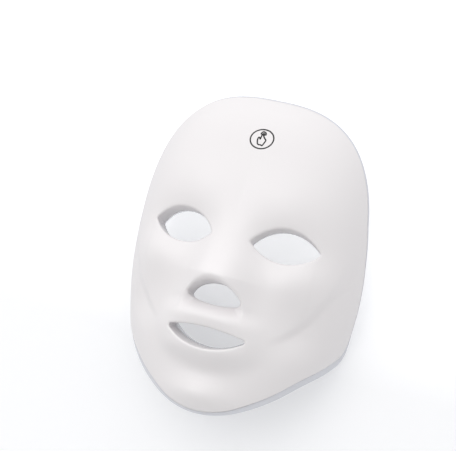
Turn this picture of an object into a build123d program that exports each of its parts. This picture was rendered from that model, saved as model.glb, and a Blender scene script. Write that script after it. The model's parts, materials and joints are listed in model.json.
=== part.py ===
from build123d import *
import math
import os

import numpy as np

# LED face mask, a rigid two-skin shell worn on the face, in millimetres.
# Frame: +Z is up as worn, the mask looks along -Y, +X is the wearer's left.
# The origin is the point on the middle plane where the nose bridge rests on its pad.

# Overall form of the outer skin: half of an oval dome, measured from the bridge
half_width = 80.0
crown_height = 107.0
jaw_height = 140.0
dome_depth = 67.6
dome_middle = -1.6
crown_power = 2.75
jaw_power = 1.91
depth_power = 3.55

# Skins, from the front to the wearer
outer_wall = 2.0
inner_gap = 8.5
inner_wall = 1.5
seam = 0.3
lip_thick = 2.0
lip_step = 0.6
relief_share_inside = 0.6

# Rim, seen from the side: heights above the bridge, and depths behind the dome's front
rim_crown_depth = 25.0
rim_crown_z = 93.0
rim_temple_depth = 35.0
rim_temple_z = 28.0
rim_corner_depth = 59.0
rim_corner_z = -54.0
rim_jaw_depth = 29.0
rim_jaw_z = -77.0
rim_chin_depth = 10.0
rim_chin_z = -114.0
rim_corner_round = 9.0
rim_soft_round = 40.0
jaw_lip_reach = 5.0

# Brow, eye hollow, cheekbone and jaw hollow, one of each on each side
brow_x = 26.0
brow_z = 28.0
brow_wide = 30.0
brow_tall = 18.0
brow_rise = 3.2
hollow_x = 36.0
hollow_z = 0.0
hollow_wide = 20.0
hollow_tall = 13.0
hollow_drop = 4.8
cheek_x = 46.0
cheek_z = -20.0
cheek_wide = 19.0
cheek_tall = 14.0
cheek_rise = 4.2
jaw_hollow_x = 50.0
jaw_hollow_z = -50.0
jaw_hollow_wide = 14.0
jaw_hollow_tall = 16.0
jaw_hollow_drop = 3.0

# Nose, from its root down to the tip, whose underside follows the arch of its opening
nose_root_z = 38.0
nose_tip_z = -26.0
nose_rise = 20.5
nose_root_wide = 14.0
nose_tip_wide = 19.0
nose_under = 12.0
nose_arch = 11.0
nose_lift_power = 2.0
nose_side_power = 2.6

# Mouth mound with its two lips, and the chin
muzzle_z = -62.0
muzzle_wide = 31.5
muzzle_tall = 19.0
muzzle_rise = 10.0
muzzle_power = 5.0
upper_lip_z = -51.0
upper_lip_wide = 30.0
upper_lip_tall = 6.5
upper_lip_rise = 3.6
lower_lip_z = -72.0
lower_lip_wide = 26.0
lower_lip_tall = 6.0
lower_lip_rise = 2.0
lip_side_power = 4.5
chin_z = -101.0
chin_wide = 22.0
chin_tall = 10.5
chin_rise = 9.5

# Step below the temple and cheek, where the jaw band lies back
band_step = 3.2
band_z = 20.0
band_wide = 73.0
band_tall = 92.0
band_soft_share = 0.03
band_start_x = 30.0
band_full_x = 50.0
band_full_z = -15.0
band_end_z = -70.0
band_end_soft = 22.0

# Openings: corner, top and bottom points of each outline, and the slant of its walls
eye_inner_x = 12.3
eye_inner_z = -1.8
eye_outer_x = 55.0
eye_outer_z = 2.5
eye_top_z = 11.7
eye_bottom_z = -9.6
eye_round = 1.2
eye_drop_share = 0.13
eye_inward_share = 0.06
nose_hole_x = 18.4
nose_hole_z = -40.4
nose_hole_top_z = -28.5
nose_hole_bottom_z = -43.8
nose_hole_round = 2.0
nose_hole_drop_share = 0.06
mouth_x = 25.6
mouth_z = -59.6
mouth_top_z = -56.7
mouth_bottom_z = -70.5
mouth_round = 1.6
mouth_drop_share = -0.1

# Flexible light boards and their lights
board_bond = 0.3
board_thick = 0.6
board_margin = 4.5
board_clear = 1.6
board_half = 54.0
board_low_z = 17.5
board_high_z = 45.0
cheek_board_low_z = -57.0
cheek_board_out_x = 62.0
chin_board_top_z = -76.5
chin_board_low_z = -99.0
chin_board_half = 29.0
tail_wide = 5.0
tail_gap = 0.3
light_pitch = 8.6
light_side = 5.0
light_tall = 1.6
light_seat = 0.3

# Control board, its parts and the touch pad behind the forehead mark
touch_z = 63.0
touch_pad_across = 14.0
touch_pad_thick = 0.3
control_x = 9.0
control_wide = 42.0
control_tall = 20.0
control_thick = 1.0
control_depth = 6.2
control_inset = 2.8
post_across = 4.2
post_bore = 1.5
screw_small = 1.4
screw_small_head = 2.6
screw_small_head_tall = 0.9
spring_across = 5.0
spring_wire = 0.6
chip_seat = 0.05
processor_side = 7.0
processor_tall = 1.0
driver_wide = 5.0
driver_tall = 4.0
driver_thick = 1.4
inductor_side = 4.0
inductor_thick = 2.0
socket_wide = 8.0
socket_deep = 4.0
socket_tall = 2.2

# Battery
battery_x = -35.0
battery_z = 59.5
battery_wide = 28.0
battery_tall = 20.0
battery_thick = 4.0
battery_depth = 5.6
battery_round = 1.6
tape_inset = 4.0
lead_across = 1.2
lead_gap = 0.3
plug_wide = 6.0
plug_deep = 4.0
plug_tall = 2.0

# Charging socket in the lip at the crown
port_wide = 9.0
port_tall = 3.2
port_deep = 7.4
port_wall = 0.4
port_clear = 0.2
port_below = 12.5
tongue_wide = 6.7
tongue_tall = 0.7
port_board_wide = 13.0
port_board_deep = 8.0
port_board_thick = 0.8
shelf_wide = 10.0

# Screws that hold the two skins together through the lip
boss_across = 5.4
boss_bore = 2.0
shell_screw = 1.8
shell_screw_clear = 2.3
shell_screw_head = 3.8
shell_screw_head_tall = 1.2
shell_screw_long = 8.0
boss_crown_x = 36.0
boss_crown_z = 78.0
boss_side_x = 70.5
boss_side_z = -6.0
boss_chin_x = 33.0
boss_chin_z = -89.0

# Strap lugs on the inner skin
strap_z = 22.0
strap_slot_tall = 27.0
strap_slot_deep = 5.0
lug_bar = 3.5
lug_thick = 3.0

# Silicone pads that rest on the face
pad_thick = 3.0
nose_pad_half = 9.0
nose_pad_top_z = 12.0
nose_pad_low_z = -6.0
forehead_pad_half = 22.0
forehead_pad_z = 66.0
forehead_pad_tall = 10.0
chin_pad_half = 15.0
chin_pad_z = -88.0
chin_pad_tall = 8.0
pad_round = 3.5

# One overrun for all cuts, the count of points along each skin, and its fitting tolerance
overrun = 60.0
skin_points = 61
skin_fit = 0.04


def bump(x, z, middle_x, middle_z, wide, tall, side_power=2.0):
    return np.exp(-np.abs((x - middle_x) / wide) ** side_power - ((z - middle_z) / tall) ** 2)


def smooth(value):
    held = np.clip(value, 0, 1)
    return held * held * (3 - 2 * held)


def relief(x, z):
    """How far the features stand out of the plain dome at each place."""
    side = np.abs(x)
    rise = brow_rise * bump(side, z, brow_x, brow_z, brow_wide, brow_tall)
    rise = rise - hollow_drop * bump(side, z, hollow_x, hollow_z, hollow_wide, hollow_tall)
    rise = rise + cheek_rise * bump(side, z, cheek_x, cheek_z, cheek_wide, cheek_tall)
    dent = bump(side, z, jaw_hollow_x, jaw_hollow_z, jaw_hollow_wide, jaw_hollow_tall)
    rise = rise - jaw_hollow_drop * dent
    along = np.clip((nose_root_z - z) / (nose_root_z - nose_tip_z), 0, 1)
    arched = z + nose_arch * np.clip(side / nose_hole_x, 0, 1.1) ** 2
    under = 1 - smooth((nose_tip_z - arched) / nose_under)
    wide = nose_root_wide + (nose_tip_wide - nose_root_wide) * along
    rise = rise + nose_rise * along ** nose_lift_power * under * np.exp(-(side / wide) ** nose_side_power)
    mound = np.hypot(x / muzzle_wide, (z - muzzle_z) / muzzle_tall)
    rise = rise + muzzle_rise * np.exp(-mound ** muzzle_power)
    rise = rise + upper_lip_rise * bump(x, z, 0, upper_lip_z, upper_lip_wide, upper_lip_tall, lip_side_power)
    rise = rise + lower_lip_rise * bump(x, z, 0, lower_lip_z, lower_lip_wide, lower_lip_tall, lip_side_power)
    rise = rise + chin_rise * bump(x, z, 0, chin_z, chin_wide, chin_tall)
    beyond = smooth(0.5 + (np.hypot(x / band_wide, (z - band_z) / band_tall) - 1) / (2 * band_soft_share))
    lower = smooth((band_z - z) / (band_z - band_full_z)) * smooth((z - band_end_z) / band_end_soft)
    sideways = smooth((side - band_start_x) / (band_full_x - band_start_x))
    return rise - band_step * beyond * lower * sideways


inner_inset = outer_wall + inner_gap
front_y = relief_share_inside * float(relief(0.0, 0.0)) - inner_inset - inner_wall - pad_thick


def skin_y(x, z, inset=0.0, share=1.0, wall=0.0):
    """Depth of a skin: the dome drawn in by inset, its relief, and a wall laid behind it."""
    drawn = inset + wall
    height = np.where(z > dome_middle, crown_height, jaw_height) - drawn
    power = np.where(z > dome_middle, crown_power, jaw_power)
    reach = np.abs(x / (half_width - drawn)) ** power + np.abs((z - dome_middle) / height) ** power
    reach = np.clip(reach ** (1 / power), 0, 1)
    dome = dome_depth - (dome_depth - drawn) * np.sqrt(1 - reach ** depth_power)
    fade = 1 - reach ** 6
    step = half_width / 1000
    slope_x = (relief(x + step, z) - relief(x - step, z)) / (2 * step)
    slope_z = (relief(x, z + step) - relief(x, z - step)) / (2 * step)
    steep = np.sqrt(1 + share ** 2 * (slope_x ** 2 + slope_z ** 2)) - 1
    return front_y + dome + fade * (wall * steep - share * relief(x, z))


def skin_block(inset=0.0, share=1.0, wall=0.0):
    """Solid that fills everything behind one skin."""
    drawn = inset + wall
    u, v = np.meshgrid(np.linspace(-1, 1, skin_points), np.linspace(-1, 1, skin_points))
    a = u * np.sqrt(1 - v * v / 2)
    b = v * np.sqrt(1 - u * u / 2)
    radius = np.hypot(a, b)
    held = np.where(radius > 0, radius, 1)
    across = np.where(radius > 0, a / held, 1)
    along = np.where(radius > 0, b / held, 0)
    power = np.where(along > 0, crown_power, jaw_power)
    height = np.where(along > 0, crown_height, jaw_height) - drawn
    reach = (np.abs(across) ** power + np.abs(along) ** power) ** (-1 / power)
    out = np.sin(np.clip(radius, 0, 1) * math.pi / 2)
    x = out * reach * across * (half_width - drawn)
    z = dome_middle + out * reach * along * height
    y = skin_y(x, z, inset, share, wall)
    rows = [[Vector(*point) for point in row] for row in np.stack([x, y, z], -1)]
    face = Face.make_surface_from_array_of_points(rows, tol=skin_fit, min_deg=5, max_deg=5)
    return Solid.extrude(face, Vector(0, dome_depth + overrun, 0))


def rim_line(lag=0.0, jaw_extra=0.0):
    """Points of the rim from crown to chin, seen from the side, moved back by lag."""
    back = Vector(0, 1, -0.5) * lag
    corner_back = Vector(0, 1, -0.5) * (lag + jaw_extra)
    knee_z = rim_corner_z + jaw_lip_reach * 3
    fall = (rim_temple_z - knee_z) / (rim_temple_z - rim_corner_z)
    knee_depth = rim_temple_depth + (rim_corner_depth - rim_temple_depth) * fall
    return [
        Vector(0, front_y + rim_crown_depth, rim_crown_z) + back,
        Vector(0, front_y + rim_temple_depth, rim_temple_z) + back,
        Vector(0, front_y + knee_depth, knee_z) + back,
        Vector(0, front_y + rim_corner_depth, rim_corner_z) + corner_back,
        Vector(0, front_y + rim_jaw_depth, rim_jaw_z) + (back + corner_back) / 2,
        Vector(0, front_y + rim_chin_depth, rim_chin_z) + back,
    ]


def rim_front(lag=0.0, jaw_extra=0.0):
    """Everything in front of the rim, moved back by lag, and further at the jaw corner."""
    far = crown_height + jaw_height
    points = rim_line(lag, jaw_extra)
    line = [(point.Y, point.Z) for point in [points[0] * 2 - points[1]] + points]
    ends = [(-far, line[-1][1]), (-far, line[0][1])]
    side = make_face(Polyline(*line, *ends, close=True))
    for place, rounding in ((4, rim_corner_round), (5, rim_soft_round)):
        near = side.vertices().sort_by_distance((line[place][0], line[place][1], 0))[0]
        side = fillet(near, rounding)
    return extrude(Plane.YZ * side, half_width + overrun, both=True)


def rim_plane(x, z, lag=0.0):
    """Plane on the rim line beside a place, square to the rim, facing backwards."""
    points = rim_line(lag)
    for upper, lower in zip(points, points[1:]):
        if z > lower.Z:
            break
    run = (lower - upper).normalized()
    origin = upper + (lower - upper) * ((upper.Z - z) / (upper.Z - lower.Z))
    return Plane(origin=(x, origin.Y, z), x_dir=(1, 0, 0), z_dir=(0, -run.Z, run.Y))


def lip_back_plane(x, z, across):
    """The rim plane moved back until a round of this size clears the lip's back."""
    plane = rim_plane(x, z)
    lags = []
    points = rim_line(seam + lip_thick, jaw_lip_reach)
    for step in (-across / 2, 0, across / 2):
        start = plane.origin + plane.y_dir * step
        for upper, lower in zip(points, points[1:]):
            run = lower - upper
            normal = Vector(0, -run.Z, run.Y)
            hit = start + plane.z_dir * ((upper - start).dot(normal) / plane.z_dir.dot(normal))
            if lower.Z <= hit.Z <= upper.Z:
                lags.append((hit - start).length)
    return plane.offset(max(lags))


def skin_plane(x, z, wall=0.0, lift=0.0):
    """Plane lying on the outer skin's inner side, at a wall behind the front, facing the wearer."""
    step = half_width / 1000
    y = float(skin_y(x, z, wall=wall))
    slope_x = float(skin_y(x + step, z, wall=wall) - skin_y(x - step, z, wall=wall)) / (2 * step)
    slope_z = float(skin_y(x, z + step, wall=wall) - skin_y(x, z - step, wall=wall)) / (2 * step)
    inward = Vector(-slope_x, 1, -slope_z).normalized()
    across = Vector(1, slope_x, 0).normalized()
    return Plane(origin=Vector(x, y, z) + inward * lift, x_dir=across, z_dir=inward)


def two_arcs(left, top, right, bottom, rounding, grow=0.0):
    """Outline of an opening, an upper and a lower arc with softened corners, grown evenly."""
    half = (Vector(*right) - Vector(*left)) / 2
    middle = Vector(*left) + half
    rise = (Vector(*top) - middle).length
    fall = (Vector(*bottom) - middle).length
    spread = half.length + grow / math.sin(math.atan(rise / half.length) + math.atan(fall / half.length))
    start = middle - half.normalized() * spread
    end = middle + half.normalized() * spread
    upper = ThreePointArc(start, Vector(*top) + Vector(0, grow), end)
    lower = ThreePointArc(end, Vector(*bottom) - Vector(0, grow), start)
    face = make_face([upper, lower])
    return fillet(face.vertices(), rounding + grow)


def eye_outline(side, grow):
    middle = (eye_inner_x + eye_outer_x) / 2
    inner = (side * eye_inner_x, eye_inner_z)
    outer = (side * eye_outer_x, eye_outer_z)
    ends = (inner, outer) if side > 0 else (outer, inner)
    top = (side * middle, eye_top_z)
    bottom = (side * middle, eye_bottom_z)
    return two_arcs(ends[0], top, ends[1], bottom, eye_round, grow)


def tunnel(outline, middle, slant):
    """Slanted prism through both skins, on an outline drawn at the outer skin."""
    level = float(skin_y(middle[0], middle[1]))
    run = Vector(slant[0], 1, slant[1])
    start = Plane.XZ.offset(-level) * outline
    start = Pos(*(run * -overrun)) * start
    return Solid.extrude(start.face(), run * (2 * overrun))


def openings(grow=0.0):
    middle = (eye_inner_x + eye_outer_x) / 2
    cuts = {}
    for side, name in ((-1, "right_eye"), (1, "left_eye")):
        slant = (-side * eye_inward_share, -eye_drop_share)
        cuts[name] = tunnel(eye_outline(side, grow), (side * middle, eye_top_z), slant)
    nose = two_arcs((-nose_hole_x, nose_hole_z), (0, nose_hole_top_z), (nose_hole_x, nose_hole_z),
                    (0, nose_hole_bottom_z), nose_hole_round, grow)
    cuts["nose"] = tunnel(nose, (0, nose_hole_bottom_z), (0, -nose_hole_drop_share))
    mouth = two_arcs((-mouth_x, mouth_z), (0, mouth_top_z), (mouth_x, mouth_z),
                     (0, mouth_bottom_z), mouth_round, grow)
    cuts["mouth"] = tunnel(mouth, (mouth_x, mouth_z), (0, -mouth_drop_share))
    return cuts


def front_prism(points, rounding=0.0):
    """Prism along Y on an outline given as places seen from the front."""
    face = make_face(Polyline(*points, close=True))
    if rounding:
        face = fillet(face.vertices(), rounding)
    return extrude(Plane.XZ * face, overrun + dome_depth, both=True)


def band(half, low, high):
    return [(-half, low), (half, low), (half, high), (-half, high)]


def inside(outline, x, z, margin):
    """Whether a place lies inside a convex outline that runs anticlockwise, by a margin."""
    for (ax, az), (bx, bz) in zip(outline, outline[1:] + outline[:1]):
        long = math.hypot(bx - ax, bz - az)
        if ((bx - ax) * (z - az) - (bz - az) * (x - ax)) / long < margin:
            return False
    return True


def mirrored(outline):
    return [(-x, z) for x, z in reversed(outline)]


def lead(points, across):
    """Round wire along straight runs joined by tangent arcs."""
    runs = [(Vector(*b) - Vector(*a)).length for a, b in zip(points, points[1:])]
    path = FilletPolyline(*points, radius=0.4 * min(runs))
    return sweep(Plane(origin=path @ 0, z_dir=path % 0) * Circle(across / 2), path=path)


outer_front = skin_block()
wall_back = skin_block(wall=outer_wall)
inner_front = skin_block(inner_inset, relief_share_inside)
inner_back = skin_block(inner_inset, relief_share_inside, inner_wall)
holes = openings()
collars = openings(outer_wall)
boss_places = [(side * x, z) for x, z in ((boss_crown_x, boss_crown_z), (boss_side_x, boss_side_z),
                                          (boss_chin_x, boss_chin_z)) for side in (-1, 1)]


def control_plane(lift=0.0):
    return skin_plane(control_x, touch_z, lift=control_depth + lift)


def control_posts():
    side_x = control_wide / 2 - control_inset
    side_y = control_tall / 2 - control_inset
    return [(a * side_x, b * side_y) for a in (-1, 1) for b in (-1, 1)]


def make_outer_shell():
    """Front skin with a collar round each opening, screw bosses and posts for the control board."""
    ahead = skin_block(inner_inset - seam, relief_share_inside)
    hollow = wall_back
    for collar in collars.values():
        hollow = hollow - (collar - ahead)
    for x, z in boss_places:
        hollow = hollow - rim_plane(x, z) * extrude(Circle(boss_across / 2), overrun / 2, both=True)
    for x, y in control_posts():
        hollow = hollow - control_plane() * Pos(x, y) * extrude(Circle(post_across / 2), -control_depth * 2)
    shell = (outer_front & rim_front()) - hollow
    for cut in holes.values():
        shell = shell - cut
    for x, z in boss_places:
        shell = shell - rim_plane(x, z) * extrude(Circle(boss_bore / 2), -shell_screw_long)
    for x, y in control_posts():
        long = control_depth - outer_wall
        shell = shell - control_plane() * Pos(x, y) * extrude(Circle(post_bore / 2), -long)
    return shell


def port_plane():
    """Plane on the back of the lip at the crown, facing backwards, local y down."""
    place = rim_plane(0, rim_crown_z - port_below, seam + lip_thick)
    return Plane(origin=place.origin, x_dir=(1, 0, 0), z_dir=(0, 1, 0))


ahead_of = (Align.CENTER, Align.MAX, Align.CENTER)


def make_inner_shell():
    """Clear skin over the lights, with its lip, strap lugs and a shelf for the charging board."""
    reach = seam + lip_thick
    face = (inner_front & rim_front(reach)) - inner_back
    edge = skin_block(lip_step)
    lip = (edge & rim_front(reach, jaw_lip_reach)) - rim_front(seam) - inner_back
    shell = face + lip
    low = strap_z - strap_slot_tall / 2 - lug_bar
    high = strap_z + strap_slot_tall / 2 + lug_bar
    slot_y = rim_plane(0, low, reach).origin.Y + lug_bar + strap_slot_deep / 2
    lug_back = Pos(0, slot_y + strap_slot_deep / 2 + lug_bar, 0)
    lug_back = lug_back * Box(4 * half_width, 2 * overrun, 4 * half_width, align=ahead_of)
    lugs = inner_front & (front_prism(band(half_width, low, high)) & lug_back)
    lugs = lugs - skin_block(inner_inset, relief_share_inside, lug_thick) - rim_front(seam)
    slot = Pos(0, slot_y, strap_z) * Box(2 * half_width, strap_slot_deep, strap_slot_tall)
    shell = shell + (lugs - slot)
    board = port_plane()
    drop = port_tall / 2 + port_board_thick
    shelf = board * Pos(0, drop + overrun / 8, -port_board_deep / 2 - lip_thick / 2)
    shell = shell + (shelf * Box(shelf_wide, overrun / 4, port_board_deep - lip_thick) - inner_back)
    for cut in holes.values():
        shell = shell - cut
    mouth = RectangleRounded(port_wide + 2 * port_clear, port_tall + 2 * port_clear, port_tall / 2)
    shell = shell - board * extrude(mouth, lip_thick * 2, both=True)
    for x, z in boss_places:
        shell = shell - rim_plane(x, z) * extrude(Circle(shell_screw_clear / 2), overrun / 4, both=True)
    return shell


def make_port():
    """Charging socket, its tongue and the small board that carries them."""
    plane = port_plane()
    outside = RectangleRounded(port_wide, port_tall, port_tall / 2 - port_clear)
    hollow = RectangleRounded(port_wide - 2 * port_wall, port_tall - 2 * port_wall,
                              port_tall / 2 - port_wall - port_clear)
    case = plane * extrude(outside, -port_deep)
    case = case - plane * extrude(hollow, -(port_deep - port_wall))
    root = plane * Pos(0, 0, -(port_deep - port_wall))
    tongue = root * extrude(Rectangle(tongue_wide, tongue_tall), port_deep - 2 * port_wall)
    low = port_tall / 2 + port_board_thick / 2
    middle = -(lip_thick + port_board_deep / 2)
    board = plane * Pos(0, low, middle) * Box(port_board_wide, port_board_thick, port_board_deep)
    return case, tongue, board


def board_outlines():
    """Convex outlines of the four light boards, seen from the front, anticlockwise."""
    eye_low = eye_bottom_z - board_margin
    left_of_nose = nose_hole_x + board_margin + board_clear
    beside_mouth = mouth_x + board_margin + 2 * board_clear
    forehead = [(-board_half, board_low_z), (board_half, board_low_z),
                (board_half - board_margin, board_high_z), (board_margin - board_half, board_high_z)]
    cheek = [(left_of_nose, eye_low - board_clear), (left_of_nose, nose_hole_bottom_z),
             (beside_mouth, cheek_board_low_z), (eye_outer_x - board_clear, cheek_board_low_z),
             (cheek_board_out_x, cheek_z - cheek_tall / 2), (eye_outer_x, eye_low)]
    chin = [(-chin_board_half, chin_board_top_z), (-chin_board_half * 2 / 3, chin_board_low_z),
            (chin_board_half * 2 / 3, chin_board_low_z), (chin_board_half, chin_board_top_z)]
    return forehead, cheek, chin


def board_tails():
    """Flexible tails: from each cheek board up past the eye, and from the chin board up."""
    forehead, cheek, chin = board_outlines()
    out_x = cheek_board_out_x
    up = board_low_z - tail_gap
    past_eye = [(out_x - tail_wide, cheek_z), (out_x, cheek_z), (out_x - board_clear, up),
                (out_x - tail_wide - board_clear, up)]
    chin_x = chin_board_half - tail_wide
    low = chin_board_top_z - board_margin
    lift = cheek_board_low_z - tail_gap
    past_mouth = [(chin_x, low), (chin_x + tail_wide, low), (beside(tail_wide), lift), (beside(0), lift)]
    start = board_high_z - board_margin
    high = touch_z - control_tall / 2 - tail_gap
    to_control = band(tail_wide, start, high)
    to_control = [(x + control_x, z) for x, z in to_control]
    return past_eye, past_mouth, to_control


def beside(step):
    return mouth_x + board_margin + 2 * board_clear + step


def make_boards():
    """Flexible boards that follow the inner side of the front skin, with rows of lights."""
    forehead, cheek, chin = board_outlines()
    past_eye, past_mouth, to_control = board_tails()
    sheet_front = outer_wall + board_bond
    sheet_back = sheet_front + board_thick
    front = skin_block(wall=sheet_front)
    back = skin_block(wall=sheet_back)
    wing_start = board_half - tail_wide
    wing_high = board_low_z + tail_wide
    wing = [(wing_start, board_low_z), (cheek_board_out_x, board_low_z),
            (cheek_board_out_x, wing_high), (wing_start, wing_high)]
    shapes = {
        "forehead": [forehead, to_control, wing, mirrored(wing)],
        "left_cheek": [cheek, past_eye],
        "right_cheek": [mirrored(cheek), mirrored(past_eye)],
        "chin": [chin, past_mouth, mirrored(past_mouth)],
    }
    boards = {}
    for name, outlines in shapes.items():
        pieces = [(front & front_prism(outline)) - back for outline in outlines]
        board = pieces[0]
        for piece in pieces[1:]:
            board = board + piece
        boards[name + "_light_board"] = board
        boards[name + "_lights"] = lights_on(outlines[0], sheet_back, back)
    return boards


def lights_on(outline, wall, sheet_back):
    """Square lights in rows, seated on the curved back of a board and clear of its edges."""
    left = min(x for x, z in outline)
    right = max(x for x, z in outline)
    low = min(z for x, z in outline)
    high = max(z for x, z in outline)
    columns = round((right - left) / light_pitch) + 1
    rows = round((high - low) / light_pitch) + 1
    middle_x = (left + right) / 2
    middle_z = (low + high) / 2
    tall = light_tall + 2 * light_seat
    lamp = Pos(0, 0, light_tall / 2 - light_seat) * Box(light_side, light_side, tall)
    lights = []
    for row in range(rows):
        z = middle_z + (row - (rows - 1) / 2) * light_pitch
        for column in range(columns):
            x = middle_x + (column - (columns - 1) / 2) * light_pitch
            if inside(outline, x, z, light_side * 0.62):
                lights.append((skin_plane(x, z, wall) * lamp) & sheet_back)
    return Compound(lights)


def make_control():
    """Control board on its posts, with its parts, the touch pad and the battery's connector."""
    board = Box(control_wide, control_tall, control_thick, align=(Align.CENTER, Align.CENTER, Align.MIN))
    for x, y in control_posts():
        board = board - Pos(x, y) * Cylinder(post_bore / 2, 4 * control_thick)
    back = control_plane(control_thick + chip_seat)
    seat = (Align.CENTER, Align.CENTER, Align.MIN)
    quarter = control_wide / 4
    chips = [
        Pos(quarter / 2, 0) * Box(processor_side, processor_side, processor_tall, align=seat),
        Pos(quarter * 1.3, -control_tall / 5) * Box(driver_wide, driver_tall, driver_thick, align=seat),
        Pos(quarter * 1.3, control_tall / 5) * Box(driver_wide, driver_tall, driver_thick, align=seat),
        Pos(-quarter / 2, -control_tall / 5) * Box(inductor_side, inductor_side, inductor_thick, align=seat),
    ]
    socket = Box(socket_wide, socket_deep, socket_tall, align=seat)
    socket = Pos(0, control_tall / 2 - socket_deep / 2) * socket
    screws = []
    for x, y in control_posts():
        shank = extrude(Circle(screw_small / 2), -(control_depth - outer_wall) / 2 - control_thick)
        head = extrude(Circle(screw_small_head / 2), screw_small_head_tall)
        screws.append(back * Pos(x, y) * (shank + head))
    pad_back = skin_block(wall=outer_wall + touch_pad_thick)
    pad = front_prism(band(touch_pad_across / 2, touch_z - touch_pad_across / 2,
                           touch_z + touch_pad_across / 2), touch_pad_across / 2 - touch_pad_thick)
    pad = (wall_back & pad) - pad_back
    ring = Circle(spring_across / 2) - Circle(spring_across / 2 - spring_wire)
    spring = control_plane() * Pos(-control_x, 0) * extrude(ring, -control_depth)
    spring = spring & skin_block(wall=outer_wall + touch_pad_thick)
    return {
        "control_board": control_plane() * board,
        "control_chips": Compound([back * chip for chip in chips]),
        "light_board_connector": back * socket,
        "control_board_screws": Compound(screws),
        "touch_pad": pad,
        "touch_spring": spring,
    }


def make_battery():
    """Battery on its foam tape, and its two leads to a plug on the control board."""
    plane = skin_plane(battery_x, battery_z, lift=battery_depth)
    cell = Box(battery_wide, battery_tall, battery_thick, align=(Align.CENTER, Align.CENTER, Align.MIN))
    cell = fillet(cell.edges().filter_by(Axis.Z), battery_round)
    tape_wide = battery_wide - 2 * tape_inset
    tape_tall = battery_tall - 2 * tape_inset
    tape = plane * extrude(Rectangle(tape_wide, tape_tall), -battery_depth)
    tape = tape & wall_back
    back = control_plane(control_thick + chip_seat)
    plug = Box(plug_wide, plug_deep, plug_tall, align=(Align.CENTER, Align.CENTER, Align.MIN))
    plug_place = back * Pos(plug_wide / 2 - control_wide / 2 + control_inset * 1.5, 0)
    leads = []
    for side in (-1, 1):
        start = plane * Pos(battery_wide / 2 + lead_gap * 1.5, side * lead_across, battery_thick / 2)
        end = plug_place * Pos(-plug_wide / 2 - lead_gap, side * lead_across, plug_tall / 2)
        over = plug_place * Pos(-plug_wide / 2 - plug_deep, side * lead_across, plug_tall / 2)
        points = [start.position, over.position, end.position]
        leads.append(lead(points, lead_across))
    return {
        "battery": plane * cell,
        "battery_foam_tape": tape,
        "battery_plug": plug_place * plug,
        "battery_leads": Compound(leads),
    }


def make_port_leads():
    """Two charging leads from the small board at the crown to the control board."""
    start_plane = port_plane()
    low = port_tall / 2 + port_board_thick / 2
    front = -(lip_thick + port_board_deep) - lead_gap
    leads = []
    for side in (-1, 1):
        first = (start_plane * Pos(side * lead_across, low, front)).position
        end = control_plane(control_thick + lead_gap + lead_across / 2)
        last = (end * Pos(side * lead_across - control_x / 2, -control_tall / 2 + lead_across)).position
        along = Vector(0, -1, 0) * lead_across * 1.6
        middle = first + along
        points = [first, middle, last]
        leads.append(lead(points, lead_across * 0.8))
    return Compound(leads)


def make_shell_screws():
    """Screws through the lip of the clear skin into the bosses of the front skin."""
    screws = []
    for x, z in boss_places:
        plane = lip_back_plane(x, z, shell_screw_head)
        shank = extrude(Circle(shell_screw / 2), -shell_screw_long)
        head = extrude(Circle(shell_screw_head / 2), shell_screw_head_tall)
        screws.append(plane * (shank + head))
    return Compound(screws)


def make_pads():
    """Soft pads on the clear skin where the mask rests on the face."""
    back = skin_block(inner_inset, relief_share_inside, inner_wall + pad_thick)
    half = forehead_pad_tall / 2
    chin_half = chin_pad_tall / 2
    outlines = {
        "nose_bridge_pad": band(nose_pad_half, nose_pad_low_z, nose_pad_top_z),
        "forehead_pad": band(forehead_pad_half, forehead_pad_z - half, forehead_pad_z + half),
        "chin_pad": band(chin_pad_half, chin_pad_z - chin_half, chin_pad_z + chin_half),
    }
    pads = {}
    for name, outline in outlines.items():
        pads[name] = (inner_back & front_prism(outline, pad_round)) - back
    return pads


def main():
    os.makedirs("parts", exist_ok=True)
    case, tongue, port_board = make_port()
    pieces = {
        "outer_shell": make_outer_shell(),
        "inner_shell": make_inner_shell(),
        "charging_socket": case,
        "charging_tongue": tongue,
        "charging_board": port_board,
        "charging_leads": make_port_leads(),
        "shell_screws": make_shell_screws(),
    }
    pieces.update(make_boards())
    pieces.update(make_control())
    pieces.update(make_battery())
    pieces.update(make_pads())
    for name, piece in pieces.items():
        export_step(piece, f"parts/{name}.step")
        print(name, "volume", round(piece.volume, 1))


main()
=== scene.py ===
import json
import math

import bmesh
import bpy
import mathutils
import numpy as np
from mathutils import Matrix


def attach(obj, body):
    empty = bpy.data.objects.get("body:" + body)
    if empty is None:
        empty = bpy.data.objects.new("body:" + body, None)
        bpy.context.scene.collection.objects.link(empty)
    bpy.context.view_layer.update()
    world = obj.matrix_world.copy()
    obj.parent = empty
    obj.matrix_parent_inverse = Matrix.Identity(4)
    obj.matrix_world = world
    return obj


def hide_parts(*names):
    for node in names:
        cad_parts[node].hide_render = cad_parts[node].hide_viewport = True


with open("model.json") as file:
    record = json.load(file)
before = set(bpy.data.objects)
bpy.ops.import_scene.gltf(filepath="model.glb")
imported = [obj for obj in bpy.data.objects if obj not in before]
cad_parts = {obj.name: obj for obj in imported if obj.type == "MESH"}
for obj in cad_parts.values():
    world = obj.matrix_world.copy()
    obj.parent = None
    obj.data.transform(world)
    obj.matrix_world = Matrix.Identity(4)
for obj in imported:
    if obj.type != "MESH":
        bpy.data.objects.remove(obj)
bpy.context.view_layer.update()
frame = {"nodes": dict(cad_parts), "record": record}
nodes = frame["nodes"]
mm = 0.001
print("frame loaded,", len(nodes), "nodes")

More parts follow.
